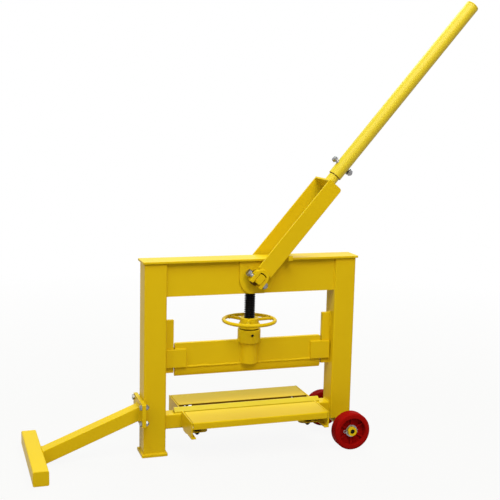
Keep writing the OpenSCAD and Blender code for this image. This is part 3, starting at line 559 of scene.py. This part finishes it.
def frame_welds():
    """Beads of the beams, guide bars, table arms, stabiliser, axle and lever stops."""
    left, right = box("left_post"), box("right_post")
    beam, lower = box("front_beam_plate"), box("lower_beam")
    tack = 40
    paths = []
    for x in (left.x1, right.x0):
        for y in (beam.y0, -beam.y0):
            paths.append(line((x, y, beam.z0 + 1), (x, y, beam.z1 - 1)))
        for y in (lower.y0, lower.y1):
            paths.append(line((x, y, lower.z0), (x, y, lower.z1)))
        for z in (lower.z0, lower.z1):
            paths.append(line((x, lower.y0, z), (x, lower.y1, z)))
    for side in ("left", "right"):
        guide = box(side + "_guide_bar")
        x = left.x1 if side == "left" else right.x0
        for y in (guide.y0, guide.y1):
            for z0, z1 in ((guide.z0, guide.z0 + tack), (guide.z1 - tack, guide.z1)):
                paths.append(line((x, y, z0), (x, y, z1)))
        paths.append(line((x, guide.y0, guide.z1), (x, guide.y1, guide.z1)))
        arms = box(side + "_table_arms")
        outer = arms.x0 if side == "left" else arms.x1
        for y in (lower.y0, lower.y1):
            paths.append(line((outer, y, arms.z0 + 2), (outer, y, lower.z1 - 2)))
    paths += stabiliser_welds(left)
    axle = box("axle")
    middle, under = (axle.x0 + axle.x1) / 2, right.z0 - 2.5
    for x in (middle - 9, middle + 9):
        paths.append(line((x, right.y0 + 1, under), (x, right.y1 - 1, under)))
    stops, cap = box("lever_stops"), box("cap_plate")
    for y in (cap.y0, cap.y1):
        paths.append(line((stops.x0, y, cap.z1), (stops.x1, y, cap.z1)))
    return paths


def stabiliser_welds(post):
    """Beads round the post's foot, along its flange and at both ends of the leg."""
    foot, flange = box("left_foot_plate"), box("post_flange")
    leg, bar = box("leg_tube"), box("foot_bar")
    paths = []
    for y in (post.y0, post.y1):
        paths.append(line((post.x0 + 3, y, foot.z1), (post.x1 - 3, y, foot.z1)))
        x, inset = post.x0 + 1, y + (1 if y < 0 else -1)
        paths.append(line((x, inset, flange.z0 + 2), (x, inset, flange.z1 - 2)))
    for x in (post.x0, post.x1):
        paths.append(line((x, post.y0 + 3, foot.z1), (x, post.y1 - 3, foot.z1)))
    top, low = leg.z1 - 2 * LEG_END_HALF, 5
    for y in (leg.y0, leg.y1):
        paths.append(line((leg.x1, y, top), (leg.x1, y, leg.z1)))
        paths.append(line((leg.x0, y, low), (leg.x0, y, bar.z1)))
    for z in (top, leg.z1):
        paths.append(line((leg.x1, leg.y0, z), (leg.x1, leg.y1, z)))
    paths.append(line((leg.x0, leg.y0, bar.z1), (leg.x0, leg.y1, bar.z1)))
    return paths


def carriage_welds():
    """Beads of the blade, its sleeve, its collar and its lugs."""
    strip, holder = box("upper_blade"), box("blade_holder")
    sleeve, collar = box("sleeve"), box("collar")
    lug_end = 26
    core = (sleeve.x1 - sleeve.x0) / 2
    neck = (collar.x1 - collar.x0) / 2
    paths = [ring((SCREW_X, 0, sleeve.z1 - 0.5), (0, 0, 1), core + 0.4, steps=40)]
    seams = []
    for y in (strip.y0, strip.y1):
        sunk = y + 0.6 if y < 0 else y - 0.6
        for x0, x1 in ((strip.x0 + lug_end, SCREW_X - core), (SCREW_X + core, strip.x1 - lug_end)):
            seams.append(line((x0, sunk, strip.z1), (x1, sunk, strip.z1)))
        for side in (-1, 1):
            x = SCREW_X + side * (core - 0.5)
            paths.append(line((x, y, strip.z1), (x, y, sleeve.z1)))
            x = SCREW_X + side * (neck - 0.5)
            paths.append(line((x, y, sleeve.z1), (x, y, holder.z1)))
    for side in ("left", "right"):
        lugs = box(side + "_guide_lugs")
        inner, end = (lugs.x1, strip.x0) if side == "left" else (lugs.x0, strip.x1)
        for y in (strip.y0, strip.y1):
            paths.append(line((inner, y, lugs.z0), (inner, y, lugs.z1)))
            paths.append(line((inner, y, lugs.z1), (end, y, lugs.z1)))
    return paths, seams


def lever_welds():
    """Beads of the fork, its saddles and the handle's stub."""
    half_arc, steps = math.radians(84), 20
    plate_low, plate_high = -14, 22
    paths = []
    turns = [half_arc * (2 * i / steps - 1) for i in range(steps + 1)]
    for y in (-FORK_ARM_OUT, -FORK_ARM_IN, FORK_ARM_IN, FORK_ARM_OUT):
        paths.append([
            lever_point(CROWN_AT + SADDLE_HALF * math.cos(t), y, SADDLE_HALF * math.sin(t)) for t in turns
        ])
    for y in (-FORK_ARM_IN, FORK_ARM_IN):
        paths.append([lever_point(FORK_PLATE_AT, y, up) for up in (plate_low, plate_high)])
    paths.append(lever_ring(STUB_AT, STUB_R, 28))
    return paths


def handwheel_welds():
    """Beads where the spokes meet the rim and the hub, and round the hub's foot."""
    rim, hub = box("handwheel_rim"), box("handwheel_hub")
    rim_depth = 10
    height = (rim.z0 + rim.z1) / 2
    reach = (rim.x1 - rim.x0) / 2 - rim_depth
    core = (hub.x1 - hub.x0) / 2
    paths = [ring((SCREW_X, 0, hub.z0), (0, 0, 1), core, steps=40)]
    for turn in SPOKES:
        way = Vector((math.cos(math.radians(turn)), math.sin(math.radians(turn)), 0))
        for far in (core, reach):
            paths.append(ring(Vector((SCREW_X, 0, height)) + way * far, way, SPOKE_R, steps=16))
    return paths


def wire_along(name, paths, radius, step, material, wobble=0.0, drift=0.0, ripple=0.0, pitch=1.0):
    """A round wire or bead along paths, in millimetres."""
    return grow(
        name, BEAD, paths_mesh(paths), radius=radius * MM, ripple=ripple, pitch=pitch * MM, wobble=wobble,
        drift=drift * MM, step=step * MM, finish=material,
    )


def bead(name, paths, body, radius, wobble=0.55, drift=0.0):
    """A painted weld bead along paths."""
    mesh = wire_along(
        name, paths, radius, step=0.9, material=PAINT, wobble=wobble, drift=drift, ripple=0.09, pitch=3.1,
    )
    return take(show(name, mesh), body, "yellow_paint")


# Fasteners


def add_rings(work, spots, rows):
    """Adds a closed body from rings of points, each with its radii and heights in millimetres."""
    rings = []
    for radii, heights in rows:
        rings.append([
            work.verts.new(Vector((r * math.cos(t), r * math.sin(t), h)) * MM)
            for r, t, h in zip(radii, spots, heights)
        ])
    for low, high in zip(rings, rings[1:]):
        for i in range(len(spots)):
            work.faces.new((low[i - 1], low[i], high[i], high[i - 1]))
    work.faces.new(rings[-1])
    work.faces.new(list(reversed(rings[0])))


def hex_block(af, height, both):
    """A hexagon with its corners turned down at the top, or at both ends."""
    turned = af / 2 * 0.96
    work = bmesh.new()
    spots = [2 * math.pi * i / HEX_STEPS for i in range(HEX_STEPS)]
    flat = [af / 2 / math.cos((t + math.pi / 6) % (math.pi / 3) - math.pi / 6) for t in spots]
    drop = [max(0.0, r - turned) * math.tan(math.radians(30)) for r in flat]
    narrow, zero = [turned] * HEX_STEPS, [0.0] * HEX_STEPS
    rows = [(narrow, zero)] if both else []
    rows.append((flat, drop if both else zero))
    rows.append((flat, [height - d for d in drop]))
    rows.append((narrow, [height] * HEX_STEPS))
    add_rings(work, spots, rows)
    bmesh.ops.remove_doubles(work, verts=work.verts, dist=1e-6)
    return work


def add_disc(work, diameter, low, high):
    """Adds a washer or a plain shank with softened edges."""
    r, soft = diameter / 2, min(0.4, (high - low) / 4)
    spots = [2 * math.pi * i / DISC_STEPS for i in range(DISC_STEPS)]
    rows = [(r - soft, low), (r, low + soft), (r, high - soft), (r - soft, high)]
    add_rings(work, spots, [([radius] * DISC_STEPS, [z] * DISC_STEPS) for radius, z in rows])


def add_thread(work, diameter, pitch, low, high):
    """Adds a threaded length between two heights."""
    turns = (high - low) / pitch
    rod = grow(
        "thread", THREAD, bpy.data.meshes.new("empty"), crest=diameter / 2 * MM, depth=pitch * 0.55 * MM,
        pitch=pitch * MM, length=(high - low) * MM, sides=24, rows=int(turns * 8) + 4,
    )
    rod.transform(Matrix.Translation((0, 0, low * MM)))
    work.from_mesh(rod)


PATTERNS = []


def pattern(name, work):
    """A shape that the fastener tree repeats, removed once all are set out."""
    mesh = bpy.data.meshes.new(name)
    for face in work.faces:
        face.smooth = True
        face.material_index = 0
    work.to_mesh(mesh)
    work.free()
    mesh.set_sharp_from_angle(angle=math.radians(25))
    shape = show(name, mesh)
    PATTERNS.append(shape)
    return shape


def bolt(name, af, head, rod_d, pitch, grip, thread, washer_d=0, washer_t=0):
    """A bolt whose head stands up from the seat and whose shank hangs below it."""
    work = hex_block(af, head, False)
    bmesh.ops.translate(work, verts=work.verts, vec=(0, 0, washer_t * MM))
    if washer_t:
        add_disc(work, washer_d, 0, washer_t)
    add_disc(work, rod_d, -grip, 0.5)
    add_thread(work, rod_d, pitch, -grip - thread, -grip + 4)
    return pattern(name, work)


def nut(name, af, height, washer_d=0, washer_t=0):
    """A nut that stands on its seat or on its washer."""
    work = hex_block(af, height, True)
    bmesh.ops.translate(work, verts=work.verts, vec=(0, 0, washer_t * MM))
    if washer_t:
        add_disc(work, washer_d, 0, washer_t)
    return pattern(name, work)


def set_out(name, shape, places, material):
    """A fastener on each place, which is a point and an axis."""
    mesh = bpy.data.meshes.new("places")
    mesh.from_pydata([p for p, _ in places], [], [])
    axes = mesh.attributes.new("axis", "FLOAT_VECTOR", "POINT")
    for item, (_, axis) in zip(axes.data, places):
        item.vector = axis
    return grow(name, FASTENER, mesh, pattern=shape, finish=material)


def joined(name, *meshes):
    """Several meshes of one finish as one piece."""
    work = bmesh.new()
    for mesh in meshes:
        work.from_mesh(mesh)
    result = meshes[0].copy()
    work.to_mesh(result)
    work.free()
    material = next(m for m in result.materials if m)
    result.materials.clear()
    result.materials.append(material)
    return show(name, result)


def lever_fasteners():
    """The saddles' cross bolts and the handle's bolt."""
    up = lever_point(0, 0, 1) - lever_point(0, 0, 0)
    side = (box("front_saddle").y0 + box("front_saddle").y1) / 2
    seat = SADDLE_HALF + SADDLE_HEAD_GAP
    heads = [(lever_point(SADDLE_BOLT_AT, y, seat), up) for y in (side, -side)]
    nuts = [(lever_point(SADDLE_BOLT_AT, y, -SADDLE_HALF), -up) for y in (side, -side)]
    above, below = HANDLE_R + 8, HANDLE_R + 3
    top = lever_point(HANDLE_BOLT_AT, 0, above)
    foot = lever_point(HANDLE_BOLT_AT, 0, -below)
    short = bolt(
        "saddle_bolt_pattern", af=16, head=6.4, rod_d=10, pitch=1.5, grip=seat + SADDLE_HALF, thread=13.5,
        washer_d=20, washer_t=2.5,
    )
    long = bolt(
        "handle_bolt_pattern", af=16, head=6.4, rod_d=10, pitch=1.5, grip=above + below, thread=13.5,
        washer_d=18, washer_t=1.5,
    )
    hexnut = nut("lever_nut_pattern", af=16, height=8, washer_d=20, washer_t=2.5)
    short_mesh = set_out("saddle_bolts", short, heads, ZINC)
    long_mesh = set_out("handle_bolt", long, [(top, up)], ZINC)
    take(joined("lever_bolts_zinc", short_mesh, long_mesh), "lever", "zinc", "lever_bolts")
    nuts_mesh = set_out("lever_nuts", hexnut, nuts + [(foot, -up)], ZINC)
    take(show("lever_nuts_zinc", nuts_mesh), "lever", "zinc", "lever_nuts")


def flange_fasteners():
    """The four bolts and nuts that hold the stabiliser. Returns the nut's pattern."""
    plate, face = box("leg_flange"), box("post_flange")
    middle = (plate.z0 + plate.z1) / 2
    corners = [
        (y, middle + z) for y in (-FLANGE_BOLT_Y, FLANGE_BOLT_Y) for z in (-FLANGE_BOLT_Z, FLANGE_BOLT_Z)
    ]
    head = bolt(
        "flange_bolt_pattern", af=13, head=5.3, rod_d=SMALL_ROD_D, pitch=SMALL_ROD_PITCH,
        grip=9, thread=10.5,
    )
    hexnut = nut("small_nut_pattern", af=13, height=SMALL_NUT_H)
    heads = [(point(plate.x0, y, z), Vector((-1, 0, 0))) for y, z in corners]
    nuts = [(point(face.x1, y, z), Vector((1, 0, 0))) for y, z in corners]
    heads_mesh = set_out("flange_bolts", head, heads, ZINC)
    take(show("flange_bolts_zinc", heads_mesh), "frame", "zinc", "flange_bolts")
    nuts_mesh = set_out("flange_nuts", hexnut, nuts, ZINC)
    take(show("flange_nuts_zinc", nuts_mesh), "frame", "zinc", "flange_nuts")
    return hexnut


def table_fasteners(hexnut):
    """The studs under each table, with their nuts below the spring seats."""
    studs = box("front_table_bolts")
    under = studs.z1
    foot, thread, overlap, nut_gap = studs.z0 - under, 24, 2, 0.3
    work = bmesh.new()
    add_disc(work, SMALL_ROD_D, foot + thread - overlap, 0)
    add_thread(work, SMALL_ROD_D, SMALL_ROD_PITCH, foot, foot + thread)
    stud = pattern("table_stud_pattern", work)
    nut_foot = box("spring_seats").z0 - nut_gap - SMALL_NUT_H
    up = Vector((0, 0, 1))
    for side, sign in TABLE_SIDES:
        y = sign * TABLE_STUD_Y
        across = (SCREW_X - TABLE_STUD_X, SCREW_X + TABLE_STUD_X)
        studs_mesh = set_out("studs", stud, [(point(x, y, under), up) for x in across], BLACK)
        nuts_mesh = set_out("nuts", hexnut, [(point(x, y, nut_foot), up) for x in across], BLACK)
        piece = joined(side + "_table_studs", studs_mesh, nuts_mesh)
        take(piece, side + "_table", "black_steel", side + "_table_bolts")


def table_springs():
    """Coil springs under each table, on their seats."""
    coil = box("front_table_springs")
    seat, height = coil.z0, coil.z1 - coil.z0
    for side, sign in TABLE_SIDES:
        y = sign * TABLE_STUD_Y
        spots = bpy.data.meshes.new("spots")
        across = (SCREW_X - TABLE_STUD_X, SCREW_X + TABLE_STUD_X)
        spots.from_pydata([point(x, y, seat + 0.1) for x in across], [], [])
        mesh = grow(
            side + "_springs", SPRING, spots, coil=9 * MM, wire=1.1 * MM, turns=6.0,
            height=(height - 0.2) * MM, finish=BLACK,
        )
        piece = show(side + "_springs_coiled", mesh)
        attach(piece, "frame")
        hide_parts(side + "_table_springs")
        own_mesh(piece)


def split_pins():
    """A bent split pin through each end of the axle."""
    pins = box("split_pins")
    axle = box("axle")
    mid, z = (axle.x0 + axle.x1) / 2, (axle.z0 + axle.z1) / 2
    tip, bend, neck = mid + 17.5, mid + 15.5, mid - 12
    eye, eye_r = mid - 20.5, 4
    turns = [math.radians(150 - 300 * i / 14) for i in range(15)]
    paths = []
    for y in (pins.y0 + 2, pins.y1 - 2):
        path = [(tip, y - 0.2, z + 4.0), (bend, y, z + 1.6), (neck, y, z + 1.0)]
        path += [(eye - eye_r * math.cos(t), y, z + eye_r * math.sin(t)) for t in turns]
        path += [(neck, y, z - 1.0), (bend, y, z - 1.6), (tip, y + 0.2, z - 4.0)]
        paths.append([point(*p) for p in path])
    mesh = wire_along("pins", paths, radius=1.0, step=1.0, material=ZINC)
    take(show("split_pins_bent", mesh), "frame", "zinc", "split_pins")


def lifting_screw():
    """The black screw with its coarse thread."""
    length = screw_box.z1 - screw_box.z0
    crest = (screw_box.x1 - screw_box.x0) / 2
    mesh = grow(
        "screw_thread", THREAD, bpy.data.meshes.new("empty"), crest=crest * MM,
        depth=SCREW_THREAD_DEPTH * MM, pitch=SCREW_PITCH * MM, length=length * MM, sides=72,
        rows=int(length / SCREW_PITCH * 10) + 4, finish=BLACK,
    )
    mesh.transform(Matrix.Translation(point(SCREW_X, 0, screw_box.z0)))
    take(show("lifting_screw", mesh), "screw", "black_steel", "screw")


def spoke_hole_shade():
    """Painted shade: dark discs for pin holes on the spokes' outer ends."""
    rim = box("handwheel_rim")
    from_edge, hole_d = 14, 4.4
    reach = (rim.x1 - rim.x0) / 2 - from_edge
    top = (rim.z0 + rim.z1) / 2 + SPOKE_R
    work = bmesh.new()
    add_disc(work, hole_d, -0.6, 0.25)
    hole = pattern("spoke_hole_pattern", work)
    places = []
    for turn in SPOKES:
        t = math.radians(turn)
        place = point(SCREW_X + reach * math.cos(t), reach * math.sin(t), top)
        places.append((place, Vector((0, 0, 1))))
    take(show("spoke_pin_holes", set_out("holes", hole, places, PAINTED_SHADE)), "handwheel", "black_steel")


def groove_shade_ring():
    """Painted shade: a dark ring in the groove between the nut's flange and the collar."""
    lift, radius = 1.8, 25.2
    groove = ring((SCREW_X, 0, box("collar").z1 + lift), (0, 0, 1), radius, steps=48)
    mesh = wire_along("grease", [groove], radius=1.2, step=1.5, material=PAINTED_SHADE, wobble=0.15)
    take(show("nut_grease", mesh), "handwheel", "black_steel")


def shade_axle_bores():
    """Painted shade: dark discs a little way inside both ends of the hollow axle."""
    axle = box("axle")
    x, z = (axle.x0 + axle.x1) / 2, (axle.z0 + axle.z1) / 2
    bore, inside = 12.8, 1.4
    work = bmesh.new()
    add_disc(work, bore, -1.0, -0.2)
    plug = pattern("bore_grime_pattern", work)
    ends = [
        (point(x, axle.y0 + inside, z), Vector((0, -1, 0))),
        (point(x, axle.y1 - inside, z), Vector((0, 1, 0))),
    ]
    take(show("axle_bore_grime", set_out("grime", plug, ends, PAINTED_SHADE)), "frame", "black_steel")


def handle_joint():
    """Painted shade: a dark ring where the handle's tube ends over its stub."""
    end = lever_ring(HANDLE_END_AT, HANDLE_SHADE_R, 36)
    mesh = wire_along("joint", [end], radius=1.3, step=1.5, material=GREASE_AND_SHADE, wobble=0.3)
    take(show("handle_joint", mesh), "lever", "black_steel")


# How far the edges are broken, in millimetres, where it isn't the usual width
USUAL_EDGE = 1.0
EDGE = {
    "handle_tube": 0.8, "handle_cap": 3.0, "foot_bar": 0.6, "front_wheel": 1.6, "rear_wheel": 1.6,
    "axle": 0.8, "axle_washers": 0.5, "handwheel_hub": 1.4, "handwheel_spokes": 0.2, "handwheel_rim": 0.3,
    "grub_screws": 0.5, "lower_blade": 0.5, "upper_blade": 0.5, "front_table": 0.7, "rear_table": 0.7,
    "shaft_bushes": 0.6, "front_saddle": 1.4, "rear_saddle": 1.4,
}
MADE_ANEW = {
    "screw", "front_table_springs", "rear_table_springs", "flange_bolts", "flange_nuts", "lever_bolts",
    "lever_nuts", "front_table_bolts", "rear_table_bolts", "split_pins",
}
for name in frame["nodes"]:
    if name not in MADE_ANEW:
        softened(name, EDGE.get(name, USUAL_EDGE))

lifting_screw()
lever_fasteners()
small_nut = flange_fasteners()
table_fasteners(small_nut)
# Painted shade: dark discs on the spokes' outer ends.
spoke_hole_shade()
# Painted shade: dark discs inside the axle's ends.
shade_axle_bores()
for shape in PATTERNS:
    bpy.data.objects.remove(shape)
table_springs()
split_pins()
# Painted shade: a dark ring in the nut's groove.
groove_shade_ring()
# Painted shade: a dark ring at the handle tube's end.
handle_joint()
bead("frame_welds", frame_welds(), "frame", radius=2.2)
carriage_beads, blade_seams = carriage_welds()
bead("carriage_welds", carriage_beads, "carriage", radius=2.3, wobble=0.8)
bead("blade_seams", blade_seams, "carriage", radius=3.2, wobble=1.0, drift=4.0)
bead("lever_welds", lever_welds(), "lever", radius=2.2)
bead("handwheel_welds", handwheel_welds(), "handwheel", radius=1.5)


# Studio


def seen_rays(net):
    """One for what the camera sees, by itself or in a gloss, and none for what only lights."""
    rays = net.add("ShaderNodeLightPath", out="Is Camera Ray")
    return (rays + rays.out("Is Glossy Ray") + rays.out("Is Transmission Ray")).clamp()


def floor_white(net):
    """White ground that keeps a soft shadow near the machine."""
    seen = seen_rays(net)
    place = net.add("ShaderNodeTexCoord", out="Object")
    far = net.add("ShaderNodeVectorMath", {"operation": "LENGTH"}, "Value", {0: place})
    white = (0.92 + ((far - 0.7) * 0.5).clamp() * 0.08) * seen
    cloth = net.add("ShaderNodeBsdfDiffuse", inputs={"Color": (0.36, 0.36, 0.35, 1)})
    glow = net.add("ShaderNodeEmission", inputs={"Color": (1, 1, 1, 1), "Strength": 1.0})
    return net.add("ShaderNodeMixShader", inputs={0: white, 1: cloth, 2: glow})


def studio():
    """The ground, a white world and four large soft lamps."""
    far, low = 40, -0.0003
    corners = [(-far, -far, low), (far, -far, low), (far, far, low), (-far, far, low)]
    plane = bpy.data.meshes.new("floor")
    plane.from_pydata(corners, [], [(0, 1, 2, 3)])
    ground = show("floor", plane)
    plane.materials.append(finish("floor_white", floor_white))
    world = bpy.data.worlds.new("studio")
    bpy.context.scene.world = world
    world.use_nodes = True
    world.node_tree.nodes.clear()
    net = Wire(world.node_tree)
    seen = seen_rays(net)
    soft = net.add("ShaderNodeBackground", inputs={"Color": (1, 0.70, 0.42, 1), "Strength": 0.25})
    white = net.add("ShaderNodeBackground", inputs={"Color": (1, 1, 1, 1), "Strength": 1.0})
    mixed = net.add("ShaderNodeMixShader", inputs={0: seen, 1: soft, 2: white})
    net.add("ShaderNodeOutputWorld", inputs={"Surface": mixed})
    for name, place, aim, size, power, colour in (
        ("key", (-0.9, -1.4, 3.9), (0, 0, 0.5), 2.0, 84, (0.79, 1.0, 0.84)),
        ("front", (0.3, -2.6, 3.2), (0.1, 0, 0.7), 1.6, 77, (1.0, 0.80, 0.60)),
        ("back", (0.7, 2.0, 3.0), (0, 0.1, 0.3), 2.0, 80, (0.85, 0.98, 0.80)),
        ("fill", (-3.2, -1.0, 2.2), (0, 0, 0.6), 1.8, 34, (1.0, 0.82, 0.58)),
    ):
        lamp = bpy.data.lights.new(name, "AREA")
        lamp.color = colour
        lamp.energy = power
        lamp.size = size
        light = bpy.data.objects.new(name, lamp)
        bpy.context.scene.collection.objects.link(light)
        light.location = place
        light.rotation_euler = (Vector(place) - Vector(aim)).to_track_quat("Z", "Y").to_euler()


def camera():
    """The photograph's view: a long lens from the front left, a little above."""
    azimuth, rise, roll = -0.3218, 0.1550, 0.0230
    target, distance = point(SCREW_X - 2.73, 0, 547.9), 2.605
    focal_in_widths = 964.0 / 500.0
    level = Vector((math.sin(azimuth), -math.cos(azimuth), 0))
    back = level * math.cos(rise) + Vector((0, 0, math.sin(rise)))
    side = Vector((math.cos(azimuth), math.sin(azimuth), 0))
    up = back.cross(side)
    across = side * math.cos(roll) + up * math.sin(roll)
    upright = up * math.cos(roll) - side * math.sin(roll)
    lens = bpy.data.cameras.new("camera")
    lens.sensor_width = 36.0
    lens.lens = focal_in_widths * lens.sensor_width
    lens.clip_end = 200.0
    eye = bpy.data.objects.new("camera", lens)
    bpy.context.scene.collection.objects.link(eye)
    turn = Matrix((across, upright, back)).transposed().to_4x4()
    eye.matrix_world = Matrix.Translation(target + back * distance) @ turn
    bpy.context.scene.camera = eye


studio()
camera()
bpy.context.scene.view_settings.view_transform = "Standard"
